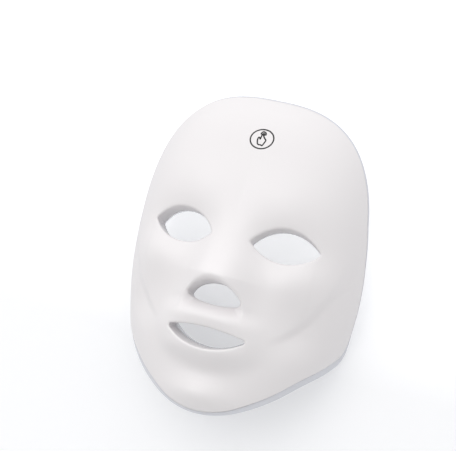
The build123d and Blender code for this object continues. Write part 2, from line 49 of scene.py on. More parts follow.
# the face as the part's source has it, in millimetres
face = {
    "halfWidth": 80.0, "crownHeight": 107.0, "jawHeight": 140.0, "depth": 67.6, "middle": -1.6,
    "crownPower": 2.75, "jawPower": 1.91, "depthPower": 3.55, "fadePower": 6, "slopeStep": 0.08,
    "outerWall": 2.0, "insideInset": 10.5, "insideWall": 1.5, "insideShare": 0.6, "padThick": 3.0,
    "seam": 0.3,
}
rim = {
    "depths": [25.0, 35.0, 59.0, 29.0, 10.0], "heights": [93.0, 28.0, -54.0, -77.0, -114.0],
    "cornerRound": 9.0, "softRound": 40.0, "cornerPoints": 9, "softPoints": 17, "lagRun": (1, -0.5),
}
brow = {"x": 26.0, "z": 28.0, "wide": 30.0, "tall": 18.0, "rise": 3.2}
hollow = {"x": 36.0, "z": 0.0, "wide": 20.0, "tall": 13.0, "rise": -4.8}
cheek = {"x": 46.0, "z": -20.0, "wide": 19.0, "tall": 14.0, "rise": 4.2}
nose = {"root": 38.0, "tip": -26.0, "rise": 20.5, "rootWide": 14.0, "tipWide": 19.0, "under": 12.0,
        "arch": 11.0, "archWide": 18.4, "archEnd": 1.1, "lift": 2.0, "power": 2.6}
muzzle = {"z": -62.0, "wide": 31.5, "tall": 19.0, "rise": 10.0, "power": 5.0}
upperLip = {"z": -51.0, "wide": 30.0, "tall": 6.5, "rise": 3.6, "sidePower": 4.5}
lowerLip = {"z": -72.0, "wide": 26.0, "tall": 6.0, "rise": 2.0, "sidePower": 4.5}
chin = {"z": -101.0, "wide": 22.0, "tall": 10.5, "rise": 9.5}
jawHollow = {"x": 50.0, "z": -50.0, "wide": 14.0, "tall": 16.0, "rise": -3.0}
jawBand = {"step": 3.2, "z": 20.0, "wide": 73.0, "tall": 92.0, "soft": 0.03, "startX": 30.0, "fullX": 50.0,
           "fullZ": -15.0, "endZ": -70.0, "endSoft": 22.0}


def smooth(value):
    held = np.clip(value, 0, 1)
    return held * held * (3 - 2 * held)


def bump(x, z, at):
    # a rise that falls off from its own middle, on both axes as a bell, or sideways with a flatter top
    sideways = np.abs((x - at.get("x", 0.0)) / at["wide"]) ** at.get("sidePower", 2.0)
    return at["rise"] * np.exp(-sideways - ((z - at["z"]) / at["tall"]) ** 2)


def relief(x, z):
    # the features' height over the plain dome: brow, eye hollow, cheek, nose, lips, chin, jaw band
    side = np.abs(x)
    rise = bump(side, z, brow) + bump(side, z, hollow) + bump(side, z, cheek) + bump(side, z, jawHollow)
    along = np.clip((nose["root"] - z) / (nose["root"] - nose["tip"]), 0, 1)
    arched = z + nose["arch"] * np.clip(np.abs(x / nose["archWide"]), 0, nose["archEnd"]) ** 2
    under = 1 - smooth((nose["tip"] - arched) / nose["under"])
    wide = nose["rootWide"] + (nose["tipWide"] - nose["rootWide"]) * along
    rise = rise + nose["rise"] * along ** nose["lift"] * under * np.exp(-np.abs(x / wide) ** nose["power"])
    oval = np.hypot(x / muzzle["wide"], (z - muzzle["z"]) / muzzle["tall"])
    rise = rise + bump(x, z, upperLip) + bump(x, z, lowerLip)
    rise = rise + muzzle["rise"] * np.exp(-oval ** muzzle["power"]) + bump(x, z, chin)
    reach = np.hypot(x / jawBand["wide"], (z - jawBand["z"]) / jawBand["tall"])
    beyond = smooth(0.5 + (reach - 1) / (2 * jawBand["soft"]))
    lower = smooth((jawBand["z"] - z) / (jawBand["z"] - jawBand["fullZ"]))
    lower = lower * smooth((z - jawBand["endZ"]) / jawBand["endSoft"])
    sideways = smooth((side - jawBand["startX"]) / (jawBand["fullX"] - jawBand["startX"]))
    return rise - jawBand["step"] * beyond * lower * sideways


# the edge of the face plate beside the cheek, and the edge under the cheekbone; the outer side lies lower
creases = {
    "side": {
        "points": [(51.6, 14.9), (54.4, 5.0), (55.0, -7.0), (55.2, -18.0), (54.6, -30.0), (52.0, -39.0),
                   (47.0, -46.5), (41.0, -54.0)],
        "drop": 0.5, "soft": 1.6, "tail": 16.0, "ends": (24.0, 26.0),
    },
    "cheek": {
        "points": [(77.0, 8.0), (75.5, -4.6), (72.4, -13.0), (66.7, -21.6), (60.5, -28.2), (51.0, -36.5)],
        "drop": 0.7, "soft": 0.8, "tail": 12.0, "ends": (3.0, 22.0),
    },
}


def creaseDepth(x, z):
    # how far the surface drops just beyond each crease line, fading out away from the line and at its ends
    side = np.abs(x)[..., None]
    height = z[..., None]
    depth = np.zeros(np.shape(x))
    for crease in creases.values():
        points = np.array(crease["points"])
        start, run = points[:-1], np.diff(points, axis=0)
        long = np.linalg.norm(run, axis=1)
        outX, outZ = side - start[:, 0], height - start[:, 1]
        share = np.clip((outX * run[:, 0] + outZ * run[:, 1]) / long ** 2, 0, 1)
        away = np.hypot(outX - share * run[:, 0], outZ - share * run[:, 1])
        nearest = np.argmin(away, axis=-1)[..., None]
        beside = (run[:, 0] * outZ - run[:, 1] * outX) / long
        signed = np.take_along_axis(np.copysign(away, beside), nearest, -1)[..., 0]
        along = np.concatenate([[0], np.cumsum(long)[:-1]]) + share * long
        along = np.take_along_axis(along, nearest, -1)[..., 0]
        fade = smooth(along / crease["ends"][0]) * smooth((long.sum() - along) / crease["ends"][1])
        step = smooth(0.5 + signed / (2 * crease["soft"])) * np.exp(-np.maximum(signed, 0) / crease["tail"])
        depth = depth + crease["drop"] * step * fade
    return depth


bridgeRelief = float(relief(np.array(0.0), np.array(0.0)))
frontY = face["insideShare"] * bridgeRelief - face["insideInset"] - face["insideWall"] - face["padThick"]


def skinY(x, z, inset=0.0, share=1.0, wall=0.0):
    # depth of a skin: the oval dome drawn in by inset, less its share of the relief, with a wall behind it
    drawn = inset + wall
    height = np.where(z > face["middle"], face["crownHeight"], face["jawHeight"]) - drawn
    power = np.where(z > face["middle"], face["crownPower"], face["jawPower"])
    reach = np.abs(x / (face["halfWidth"] - drawn)) ** power + np.abs((z - face["middle"]) / height) ** power
    reach = np.clip(reach ** (1 / power), 0, 1)
    dome = face["depth"] - (face["depth"] - drawn) * np.sqrt(1 - reach ** face["depthPower"])
    step = face["slopeStep"]
    slopeX = (relief(x + step, z) - relief(x - step, z)) / (2 * step)
    slopeZ = (relief(x, z + step) - relief(x, z - step)) / (2 * step)
    steep = np.sqrt(1 + share ** 2 * (slopeX ** 2 + slopeZ ** 2)) - 1
    return frontY + dome + (1 - reach ** face["fadePower"]) * (wall * steep - share * relief(x, z))


def frontSkin(x, z):
    # depth of the visible front, creases and all
    return skinY(x, z) + creaseDepth(x, z)


def cornerArc(line, place, radius, count):
    # points of the round that replaces one corner of a line
    before, corner, after = line[place - 1], line[place], line[place + 1]
    back = (before - corner) / np.linalg.norm(before - corner)
    on = (after - corner) / np.linalg.norm(after - corner)
    half = math.acos(float(back @ on)) / 2
    middle = corner + (back + on) / np.linalg.norm(back + on) * radius / math.sin(half)
    first = corner + back * radius / math.tan(half) - middle
    last = corner + on * radius / math.tan(half) - middle
    turn = math.atan2(first[0] * last[1] - first[1] * last[0], float(first @ last))
    angles = np.linspace(0, turn, count)
    return middle + np.outer(np.cos(angles), first) + np.outer(np.sin(angles), [-first[1], first[0]])


def rimDepth(z, lag=0.0):
    # depth of the rim line at each height, with its two rounded corners, moved back and down by lag
    line = np.stack([frontY + np.array(rim["depths"]), np.array(rim["heights"])], -1)
    line = np.vstack([2 * line[0] - line[1], line]) + np.array(rim["lagRun"]) * lag
    corner = cornerArc(line, 3, rim["cornerRound"], rim["cornerPoints"])
    jaw = cornerArc(line, 4, rim["softRound"], rim["softPoints"])
    points = np.vstack([line[:3], corner, jaw, line[5:]])[::-1]
    return np.interp(z, points[:, 1], points[:, 0])


# the redrawn front skin: points along each side of its grid, halvings that find the rim, how far its rim
# stands ahead of the solid's in millimetres, and the gap in metres under which its points are merged
shell = {"count": 211, "halvings": 30, "groove": 0.5, "weld": 1e-6}


def dish(count, wall=0.0, lag=0.0):
    # grid over the face whose outer edge lies on the rim: a square laid onto the oval,
    # with each ray from the middle ended where the skin meets the rim
    u, v = np.meshgrid(np.linspace(-1, 1, count), np.linspace(-1, 1, count))
    a = u * np.sqrt(1 - v * v / 2)
    b = v * np.sqrt(1 - u * u / 2)
    radius = np.hypot(a, b)
    held = np.where(radius > 0, radius, 1)
    across = np.where(radius > 0, a / held, 1)
    along = np.where(radius > 0, b / held, 0)
    power = np.where(along > 0, face["crownPower"], face["jawPower"])
    height = np.where(along > 0, face["crownHeight"], face["jawHeight"]) - wall
    out = (np.abs(across) ** power + np.abs(along) ** power) ** (-1 / power)
    rayX = out * across * (face["halfWidth"] - wall)
    rayZ = out * along * height
    low, high = np.zeros_like(radius), np.ones_like(radius)
    for _ in range(shell["halvings"]):
        half = (low + high) / 2
        z = face["middle"] + half * rayZ
        beyond = skinY(half * rayX, z, wall=wall) > rimDepth(z, lag)
        high = np.where(beyond, half, high)
        low = np.where(beyond, low, half)
    reached = np.sin(np.clip(radius, 0, 1) * np.arcsin(low))
    return reached * rayX, face["middle"] + reached * rayZ


def circleThrough(a, b, c):
    # centre and radius of the circle through three points
    a, b, c = (np.array(p, float) for p in (a, b, c))
    spans = 2 * np.array([b - a, c - a])
    centre = np.linalg.solve(spans, np.array([b @ b - a @ a, c @ c - a @ a]))
    return centre, float(np.linalg.norm(a - centre))


def arc(centre, radius, start, stop, count):
    # points and outward normals of a clockwise arc
    first = math.atan2(*(start - centre)[::-1])
    swept = math.atan2(*(stop - centre)[::-1]) - first
    if swept > 0:
        swept -= 2 * math.pi
    angle = first + swept * np.linspace(0, 1, count)
    normal = np.stack([np.cos(angle), np.sin(angle)], -1)
    return centre + radius * normal, normal


def touch(centre, radius, end):
    # where a circle meets the small circle that rounds its end
    return centre + (end - centre) / np.linalg.norm(end - centre) * radius


def alongLine(line, long, at):
    # values of a line of points at the lengths in at
    return np.stack([np.interp(at, long, line[:, k]) for k in (0, 1)], -1)


def outline(shape, fractions):
    # points and outward normals of an opening at fractions of its length, from the left corner over the top
    upMiddle, upRadius = circleThrough(shape["left"], shape["top"], shape["right"])
    lowMiddle, lowRadius = circleThrough(shape["left"], shape["bottom"], shape["right"])
    small = shape["round"]
    gap = lowMiddle - upMiddle
    far = float(np.linalg.norm(gap))
    on = ((upRadius - small) ** 2 - (lowRadius - small) ** 2 + far ** 2) / (2 * far)
    off = math.sqrt((upRadius - small) ** 2 - on ** 2)
    unit = gap / far
    ends = [upMiddle + unit * on + np.array([-unit[1], unit[0]]) * side * off for side in (-1, 1)]
    left, right = sorted(ends, key=lambda point: point[0])
    tipLeft, tipRight = left - np.array([small, 0.0]), right + np.array([small, 0.0])
    upLeft, upRight = touch(upMiddle, upRadius, left), touch(upMiddle, upRadius, right)
    lowLeft, lowRight = touch(lowMiddle, lowRadius, left), touch(lowMiddle, lowRadius, right)
    fine, many = roll["tipPoints"], roll["sidePoints"]
    runs = [arc(left, small, tipLeft, upLeft, fine), arc(upMiddle, upRadius, upLeft, upRight, many),
            arc(right, small, upRight, tipRight, fine), arc(right, small, tipRight, lowRight, fine),
            arc(lowMiddle, lowRadius, lowRight, lowLeft, many), arc(left, small, lowLeft, tipLeft, fine)]
    points = np.vstack([point for point, normal in runs])
    normals = np.vstack([normal for point, normal in runs])
    long = np.concatenate([[0], np.cumsum(np.linalg.norm(np.diff(points, axis=0), axis=1))])
    halfWay = long[2 * fine + many - 1]
    lower = halfWay + (fractions - 0.5) * 2 * (long[-1] - halfWay)
    at = np.where(fractions < 0.5, fractions * 2 * halfWay, lower)
    normal = alongLine(normals, long, at)
    return alongLine(points, long, at), normal / np.linalg.norm(normal, axis=1, keepdims=True)


# one eye opening, which the other mirrors
eye = {"inner": (12.3, -1.8), "outer": (55.0, 2.5), "top": 11.7, "bottom": -9.6, "round": 1.2,
       "slant": (-0.06, -0.13), "margin": 6.0}


def eyeOpening(side):
    middle = side * (eye["inner"][0] + eye["outer"][0]) / 2
    left, right = sorted((side * x, z) for x, z in (eye["inner"], eye["outer"]))
    top = (middle, eye["top"])
    slant = (side * eye["slant"][0], eye["slant"][1])
    return {"left": left, "top": top, "right": right, "bottom": (middle, eye["bottom"]),
            "round": eye["round"], "slant": slant, "level": top, "margin": eye["margin"]}


# sideways and upward place of the corners, in millimetres, and the radius of the rounded left and right ones;
# the collar runs aside by the slant for each millimetre that it lies behind the skin's level point
openings = {
    "leftEye": eyeOpening(1),
    "rightEye": eyeOpening(-1),
    "nose": {"left": (-18.4, -40.4), "top": (0.0, -30.2), "right": (18.4, -40.4), "bottom": (0.0, -43.8),
             "round": 2.0, "slant": (0.0, -0.06), "level": (0.0, -43.8), "margin": 4.5},
    "mouth": {"left": (-26.8, -61.4), "top": (0.0, -57.6), "right": (26.8, -61.4), "bottom": (0.0, -70.7),
              "round": 1.6, "slant": (0.0, 0.1), "level": (25.6, -59.6), "margin": 4.5},
}
# the rolled edge's radius, and the counts of rows and of points along an opening's outline
roll = {"radius": 1.6, "steps": 7, "rows": 8, "wallRows": 8, "backRows": 4,
        "tipPoints": 40, "sidePoints": 400}


def window(shape, x, z):
    # rows and columns of the grid that just hold an opening with its margin
    lowX, highX = shape["left"][0] - shape["margin"], shape["right"][0] + shape["margin"]
    lowZ, highZ = shape["bottom"][1] - shape["margin"], shape["top"][1] + shape["margin"]
    inside = (x > lowX) & (x < highX) & (z > lowZ) & (z < highZ)
    rows = np.where(inside.any(1))[0]
    cols = np.where(inside.any(0))[0]
    return rows[0], rows[-1], cols[0], cols[-1]


def around(box):
    # grid numbers once round a window, from the middle of its left side over the top
    r0, r1, c0, c1 = box
    middle = (r0 + r1) // 2
    up = [(r, c0) for r in range(middle, r1)]
    over = [(r1, c) for c in range(c0, c1)]
    down = [(r, c1) for r in range(r1, r0, -1)]
    under = [(r0, c) for c in range(c1, c0, -1)]
    rest = [(r, c0) for r in range(r0, middle)]
    return np.array(up + over + down + under + rest)


def ringFractions(points, rightStart):
    # share of the way round at each point, with the right side's middle at one half
    closed = np.vstack([points, points[:1]])
    long = np.concatenate([[0], np.cumsum(np.linalg.norm(np.diff(closed, axis=0), axis=1))])
    half = long[rightStart]
    at = long[:-1]
    return np.where(at < half, at / (2 * half), 0.5 + (at - half) / (2 * (long[-1] - half)))


def collar(shape, start, end, fractions):
    # rows from the front grid's gap, over the rolled edge and down the collar, to the back grid's gap
    place, normal = outline(shape, fractions)
    level = float(skinY(np.array(shape["level"][0]), np.array(shape["level"][1])))
    slant = np.array(shape["slant"])

    def at(y, out):
        return place + normal * out + slant * (y - level)[:, None]

    wall, radius = face["outerWall"], roll["radius"]
    edgeY = skinY(place[:, 0], place[:, 1])
    lift = at(edgeY, radius)
    rows = []
    for step in np.linspace(0, 1, roll["rows"])[:-1]:
        flat = start + (lift - start) * step
        rows.append((flat, frontSkin(flat[:, 0], flat[:, 1])))
    for turn in np.linspace(0, math.pi / 2, roll["steps"]):
        flat = at(edgeY, radius * (1 - math.sin(turn)))
        rows.append((flat, frontSkin(flat[:, 0], flat[:, 1]) + radius * (1 - math.cos(turn))))
    wallStart = rows[-1][1]
    ahead = skinY(place[:, 0], place[:, 1], face["insideInset"] - face["seam"], face["insideShare"])
    for step in np.linspace(0, 1, roll["wallRows"])[1:]:
        y = wallStart + (ahead - wallStart) * step
        rows.append((at(y, 0), y))
    rows.append((at(ahead, wall), ahead))
    inner = skinY(*at(edgeY, wall).T, wall=wall)
    for step in np.linspace(0, 1, roll["backRows"])[1:]:
        y = ahead + (inner - ahead) * step
        rows.append((at(y, wall), y))
    backEdge = rows[-1][0]
    for step in np.linspace(0, 1, roll["rows"])[1:]:
        flat = backEdge + (end - backEdge) * step
        rows.append((flat, skinY(flat[:, 0], flat[:, 1], wall=wall)))
    return np.stack([np.column_stack([flat[:, 0], y, flat[:, 1]]) for flat, y in rows])


def shellMesh(count):
    # the front skin's grid, the grid of its back, the faces to keep of both, and a collar for each opening
    frontX, frontZ = dish(count, lag=-shell["groove"])
    backX, backZ = dish(count, wall=face["outerWall"], lag=-shell["groove"])
    keep = np.ones((count - 1, count - 1), bool)
    collars = []
    for shape in openings.values():
        box = window(shape, frontX, frontZ)
        keep[box[0]:box[1], box[2]:box[3]] = False
        loop = around(box)
        rows, cols = loop[:, 0], loop[:, 1]
        start = np.stack([frontX[rows, cols], frontZ[rows, cols]], -1)
        end = np.stack([backX[rows, cols], backZ[rows, cols]], -1)
        offMiddle = np.abs(rows - (box[0] + box[1]) // 2)
        rightStart = int(np.argmin(np.where(cols == box[3], offMiddle, count)))
        collars.append(collar(shape, start, end, ringFractions(start, rightStart)))
    front = np.stack([frontX, frontSkin(frontX, frontZ), frontZ], -1)
    back = np.stack([backX, skinY(backX, backZ, wall=face["outerWall"]), backZ], -1)
    return front, back, keep, collars


def gridFaces(rows, cols, wrap, first):
    # four-sided faces of a grid of rows and columns, joined round where it wraps
    r = np.arange(rows - 1)[:, None]
    c = np.arange(cols if wrap else cols - 1)[None, :]
    n = (c + 1) % cols
    quad = np.stack([r * cols + c, r * cols + n, (r + 1) * cols + n, (r + 1) * cols + c], -1)
    return quad.reshape(-1, 4) + first


def edgeLoop(grid):
    # the outer edge of a square grid, once round
    return np.concatenate([grid[0, :-1], grid[:-1, -1], grid[-1, :0:-1], grid[:0:-1, 0]])


def newPiece(name, points, quads, merge=0.0):
    mesh = bpy.data.meshes.new(name)
    mesh.from_pydata((points * mm).tolist(), [], quads.tolist())
    piece = bpy.data.objects.new(name, mesh)
    bpy.context.scene.collection.objects.link(piece)
    if merge:
        work = bmesh.new()
        work.from_mesh(mesh)
        bmesh.ops.remove_doubles(work, verts=work.verts, dist=merge)
        bmesh.ops.recalc_face_normals(work, faces=work.faces)
        work.to_mesh(mesh)
        work.free()
    mesh.shade_smooth()
    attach(piece, "root")
    return piece


def makeFrontShell(count):
    front, back, keep, collars = shellMesh(count)
    points, quads, first = [], [], 0
    for grid, flip in ((front, False), (back, True)):
        faces = gridFaces(count, count, False, first).reshape(count - 1, count - 1, 4)[keep]
        quads.append(faces[:, ::-1] if flip else faces)
        points.append(grid.reshape(-1, 3))
        first += count * count
    rimRows = np.stack([edgeLoop(front), edgeLoop(back)])
    for grid in [rimRows] + collars:
        quads.append(gridFaces(len(grid), grid.shape[1], True, first))
        points.append(grid.reshape(-1, 3))
        first += grid.shape[0] * grid.shape[1]
    piece = newPiece("frontShell", np.concatenate(points), np.concatenate(quads), merge=shell["weld"])
    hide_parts("outer_shell")
    return piece


frontShell = makeFrontShell(shell["count"])
print("front shell made,", len(frontShell.data.polygons), "faces")


def newMaterial(name):
    material = bpy.data.materials.new(name)
    material.use_nodes = True
    tree = material.node_tree
    shader = tree.nodes["Principled BSDF"]
    return material, tree, shader


def mathNode(tree, operation, *values):
    # a math node with each value put on its socket, or linked into it
    node = tree.nodes.new("ShaderNodeMath")
    node.operation = operation
    for socket, value in zip(node.inputs, values):
        if isinstance(value, (int, float)):
            socket.default_value = value
        else:
            tree.links.new(value, socket)
    return node.outputs[0]


def mapRange(tree, value, span, interpolation="LINEAR"):
    # a map range node from the first two numbers of span to the last two
    node = tree.nodes.new("ShaderNodeMapRange")
    node.interpolation_type = interpolation
    for socket, number in zip(("From Min", "From Max", "To Min", "To Max"), span):
        node.inputs[socket].default_value = number
    tree.links.new(value, node.inputs["Value"])
    return node


def objectAxes(tree):
    axes = tree.nodes.new("ShaderNodeSeparateXYZ")
    tree.links.new(tree.nodes.new("ShaderNodeTexCoord").outputs["Object"], axes.inputs[0])
    return axes


grain = {
    "Scale": 900.0, "Rough": 0.3, "Rough spread": 0.05, "Tint": (1, 1, 1, 1), "Shade": (0.9, 0.9, 0.9, 1),
    "fineDetail": 3.0, "wideScale": 14.0, "wideDetail": 2.0, "bumpDistance": 0.0002,
}


def grainGroup():
    # fine moulded grain: a height, and a roughness and a colour that vary over the surface
    group = bpy.data.node_groups.new("mouldGrain", "ShaderNodeTree")
    for name in ("Scale", "Rough", "Rough spread", "Tint", "Shade"):
        kind = "NodeSocketColor" if name in ("Tint", "Shade") else "NodeSocketFloat"
        socket = group.interface.new_socket(name, in_out="INPUT", socket_type=kind)
        socket.default_value = grain[name]
    for name in ("Height", "Roughness", "Color"):
        kind = "NodeSocketColor" if name == "Color" else "NodeSocketFloat"
        group.interface.new_socket(name, in_out="OUTPUT", socket_type=kind)
    link = group.links.new
    into = group.nodes.new("NodeGroupInput")
    out = group.nodes.new("NodeGroupOutput")
    coord = group.nodes.new("ShaderNodeTexCoord")
    fine = group.nodes.new("ShaderNodeTexNoise")
    fine.inputs["Detail"].default_value = grain["fineDetail"]
    wide = group.nodes.new("ShaderNodeTexNoise")
    wide.inputs["Scale"].default_value = grain["wideScale"]
    wide.inputs["Detail"].default_value = grain["wideDetail"]
    for noise in (fine, wide):
        link(coord.outputs["Object"], noise.inputs["Vector"])
    link(into.outputs["Scale"], fine.inputs["Scale"])
    link(fine.outputs["Fac"], out.inputs["Height"])
    spread, level = into.outputs["Rough spread"], into.outputs["Rough"]
    link(mathNode(group, "MULTIPLY_ADD", wide.outputs["Fac"], spread, level), out.inputs["Roughness"])
    mix = group.nodes.new("ShaderNodeMix")
    mix.data_type = "RGBA"
    link(wide.outputs["Fac"], mix.inputs["Factor"])
    link(into.outputs["Tint"], mix.inputs["A"])
    link(into.outputs["Shade"], mix.inputs["B"])
    link(mix.outputs["Result"], out.inputs["Color"])
    return group


mouldGrain = grainGroup()


def mouldedMaterial(name, tint, shade, rough, spread=grain["Rough spread"], bumpHeight=0.02, **settings):
    # a material with the moulded grain; settings name further sockets of its shader
    material, tree, shader = newMaterial(name)
    node = tree.nodes.new("ShaderNodeGroup")
    node.node_tree = mouldGrain
    values = {"Scale": grain["Scale"], "Rough": rough, "Rough spread": spread,
              "Tint": (*tint, 1), "Shade": (*shade, 1)}
    for socket, value in values.items():
        node.inputs[socket].default_value = value
    raised = tree.nodes.new("ShaderNodeBump")
    raised.inputs["Strength"].default_value = bumpHeight
    raised.inputs["Distance"].default_value = grain["bumpDistance"]
    tree.links.new(node.outputs["Height"], raised.inputs["Height"])
    tree.links.new(raised.outputs["Normal"], shader.inputs["Normal"])
    tree.links.new(node.outputs["Roughness"], shader.inputs["Roughness"])
    tree.links.new(node.outputs["Color"], shader.inputs["Base Color"])
    for socket, value in settings.items():
        shader.inputs[socket.replace("_", " ")].default_value = value
    return material


# the rear rim in side view as four straight lines, each a slope and a depth at eye height in millimetres,
# with where the milky part starts and ends ahead of it, and how solid the skin and the flange are
flange = {
    "upper": [(-0.154, 39.3), (-0.293, 43.2)], "lower": [(1.304, 129.4), (0.514, 68.6)],
    "from": -3.5, "to": -1.5, "skin": 0.3, "edge": 0.93,
}


def clearMaterial(name):
    # clear skin in front of the lights, milky where its flange and lip are solid plastic
    material = mouldedMaterial(name, (0.8, 0.81, 0.86), (0.77, 0.78, 0.83), 0.15, spread=0.04)
    tree = material.node_tree
    axes = objectAxes(tree)
    highest = []
    for pair in (flange["upper"], flange["lower"]):
        lines = [mathNode(tree, "MULTIPLY_ADD", axes.outputs["Z"], slope, (depth + frontY) * mm)
                 for slope, depth in pair]
        highest.append(mathNode(tree, "MAXIMUM", *lines))
    behind = mathNode(tree, "SUBTRACT", axes.outputs["Y"], mathNode(tree, "MINIMUM", *highest))
    span = (flange["from"] * mm, flange["to"] * mm, flange["skin"], flange["edge"])
    share = mapRange(tree, behind, span, "SMOOTHSTEP")
    tree.links.new(share.outputs["Result"], tree.nodes["Principled BSDF"].inputs["Alpha"])
    return material


finishes = {
    "white_shell": mouldedMaterial("whiteShell", (0.875, 0.85, 0.858), (0.85, 0.825, 0.833), 0.34,
                                   Coat_Weight=0.12, Coat_Roughness=0.2),
    "clear_shell": clearMaterial("clearShell"),
    "socket_steel": mouldedMaterial("socketSteel", (0.66, 0.66, 0.67), (0.55, 0.55, 0.56), 0.25,
                                    Metallic=1.0),
    "screw_steel": mouldedMaterial("screwSteel", (0.6, 0.6, 0.6), (0.5, 0.5, 0.5), 0.3, Metallic=1.0),
    "black_plastic": mouldedMaterial("blackPlastic", (0.03, 0.03, 0.032), (0.05, 0.05, 0.05), 0.45),
    "cream_plastic": mouldedMaterial("creamPlastic", (0.83, 0.79, 0.68), (0.78, 0.73, 0.6), 0.45),
    "circuit_board": mouldedMaterial("circuitBoard", (0.03, 0.2, 0.08), (0.02, 0.13, 0.05), 0.3),
    "lead_cover": mouldedMaterial("leadCover", (0.5, 0.04, 0.03), (0.4, 0.03, 0.03), 0.5),
    "light_sheet": mouldedMaterial("lightSheet", (0.8, 0.8, 0.78), (0.74, 0.74, 0.71), 0.5),
    "light_body": mouldedMaterial("lightBody", (0.85, 0.8, 0.5), (0.82, 0.78, 0.55), 0.35),
    "touch_copper": mouldedMaterial("touchCopper", (0.75, 0.42, 0.26), (0.6, 0.33, 0.2), 0.35, Metallic=1.0),
    "battery_foil": mouldedMaterial("batteryFoil", (0.6, 0.61, 0.63), (0.5, 0.51, 0.53), 0.35, Metallic=1.0),
    "foam": mouldedMaterial("foam", (0.05, 0.05, 0.05), (0.08, 0.08, 0.08), 0.9, bumpHeight=0.6),
    "soft_pad": mouldedMaterial("softPad", (0.8, 0.81, 0.83), (0.75, 0.76, 0.78), 0.55,
                                Subsurface_Weight=0.2),
}
for row in frame["record"]["subparts"]:
    node = nodes[row["node"]]
    node.data.materials.clear()
    node.data.materials.append(finishes[row["material_slot"]])
frontShell.data.materials.append(finishes["white_shell"])
print("materials set")

# the touch mark on the forehead: a ring with a pressing hand
mark = {
    "middle": (1.6, 63.2), "ring": (7.4, 6.45), "ringTurn": 0.14, "ringPoints": 64, "ringSamples": 2,
    "line": 0.92, "proud": 0.05, "across": (-0.5, -0.25, 0.25, 0.5), "lift": (0.0, 1.0, 1.0, 0.0),
    "smoothing": 3, "handWide": 0.9, "handSamples": 6,
    "hand": [(-1.0, 3.4), (-1.0, 1.0), (-1.2, -0.5), (-2.0, 0.9), (-2.7, 0.75), (-3.0, -0.6), (-2.5, -2.6),
             (-2.0, -3.6), (-1.2, -4.1), (0.4, -3.9), (1.6, -4.4), (2.4, -2.4), (3.1, -0.4), (1.1, 1.3),
             (-0.6, 3.4)],
    "arc": [(-1.9, 2.9), (-1.7, 4.1), (-0.8, 4.95), (0.6, 4.85), (1.7, 3.8), (1.6, 2.7)],
    "inner": [(-0.5, 4.1), (0.5, 3.4), (1.3, 2.6)],
}


def stroke(points, closed, samples):
    # a flat line of even width carried along points, laid on the skin
    points = np.array(points, float)
    if closed:
        points = np.vstack([points, points[:1]])
    long = np.concatenate([[0], np.cumsum(np.linalg.norm(np.diff(points, axis=0), axis=1))])
    path = alongLine(points, long, np.linspace(0, long[-1], samples * (len(points) - 1) + 1))
    for _ in range(mark["smoothing"]):
        middle = (path[:-2] + 2 * path[1:-1] + path[2:]) / 4
        path = np.vstack([path[:1], middle, path[-1:]])
    if closed:
        path[0] = path[-1] = (path[1] + path[-2]) / 2
    run = np.gradient(path, axis=0)
    if closed:
        run[0] = run[-1] = path[1] - path[-2]
    run = run / np.linalg.norm(run, axis=1, keepdims=True)
    side = np.stack([-run[:, 1], run[:, 0]], -1)
    flat = np.stack([path + side * share * mark["line"] for share in mark["across"]])
    x = flat[..., 0] + mark["middle"][0]
    z = flat[..., 1] + mark["middle"][1]
    lift = np.array(mark["lift"])[:, None] * mark["proud"]
    return np.stack([x, skinY(x, z) - lift, z], -1)


def makeMark():
    turn = np.linspace(0, 2 * math.pi, mark["ringPoints"] + 1)[:-1]
    wide, tall = mark["ring"]
    cos, sin = math.cos(mark["ringTurn"]), math.sin(mark["ringTurn"])
    ring = np.stack([np.cos(turn) * wide, np.sin(turn) * tall], -1) @ np.array([[cos, sin], [-sin, cos]])
    narrow = np.array([mark["handWide"], 1.0])
    lines = [(ring, True, mark["ringSamples"])]
    for name, closed in (("hand", True), ("arc", False), ("inner", False)):
        lines.append((mark[name] * narrow, closed, mark["handSamples"]))
    points, quads, first = [], [], 0
    for line, closed, samples in lines:
        grid = stroke(line, closed, samples)
        points.append(grid.reshape(-1, 3))
        quads.append(gridFaces(grid.shape[0], grid.shape[1], False, first)[:, ::-1])
        first += grid.shape[0] * grid.shape[1]
    piece = newPiece("touchMark", np.concatenate(points), np.concatenate(quads))
    piece.data.materials.append(mouldedMaterial("blackInk", (0.012, 0.012, 0.013), (0.02, 0.02, 0.02), 0.5))
    return piece


touchMark = makeMark()
print("touch mark made")

# the stage, in metres: a wall close behind the mask, which shows the camera a glow that changes with height
# (two heights, then the strength at each), painted shade that is dimmer low down where the nose and mouth
# openings show it, and a weaker glow to the rest of the scene, painted bounce light on the mask's back and
# collars, and a floor far below
stage = {
    "floorZ": -0.9, "size": 0.5, "wallY": 0.056, "paintedShadeGlow": (-0.07, 0.01, 0.36, 0.6), "paintedBounceGlow": 0.25,
    "wallColour": (0.68, 0.685, 0.7), "glowColour": (0.985, 0.99, 1.0), "floorColour": (0.9, 0.9, 0.9),
    "rough": 0.9,
}


def stageSheet(name, corners, material):
    mesh = bpy.data.meshes.new(name)
    mesh.from_pydata(corners, [], [[0, 1, 2, 3]])
    sheet = bpy.data.objects.new(name, mesh)
    bpy.context.scene.collection.objects.link(sheet)
    mesh.materials.append(material)


def sheetMaterial(name, colour, gloss):
    material, tree, shader = newMaterial(name)
    shader.inputs["Base Color"].default_value = (*colour, 1)
    shader.inputs["Roughness"].default_value = stage["rough"]
    shader.inputs["Specular IOR Level"].default_value = gloss
    return material, tree, shader


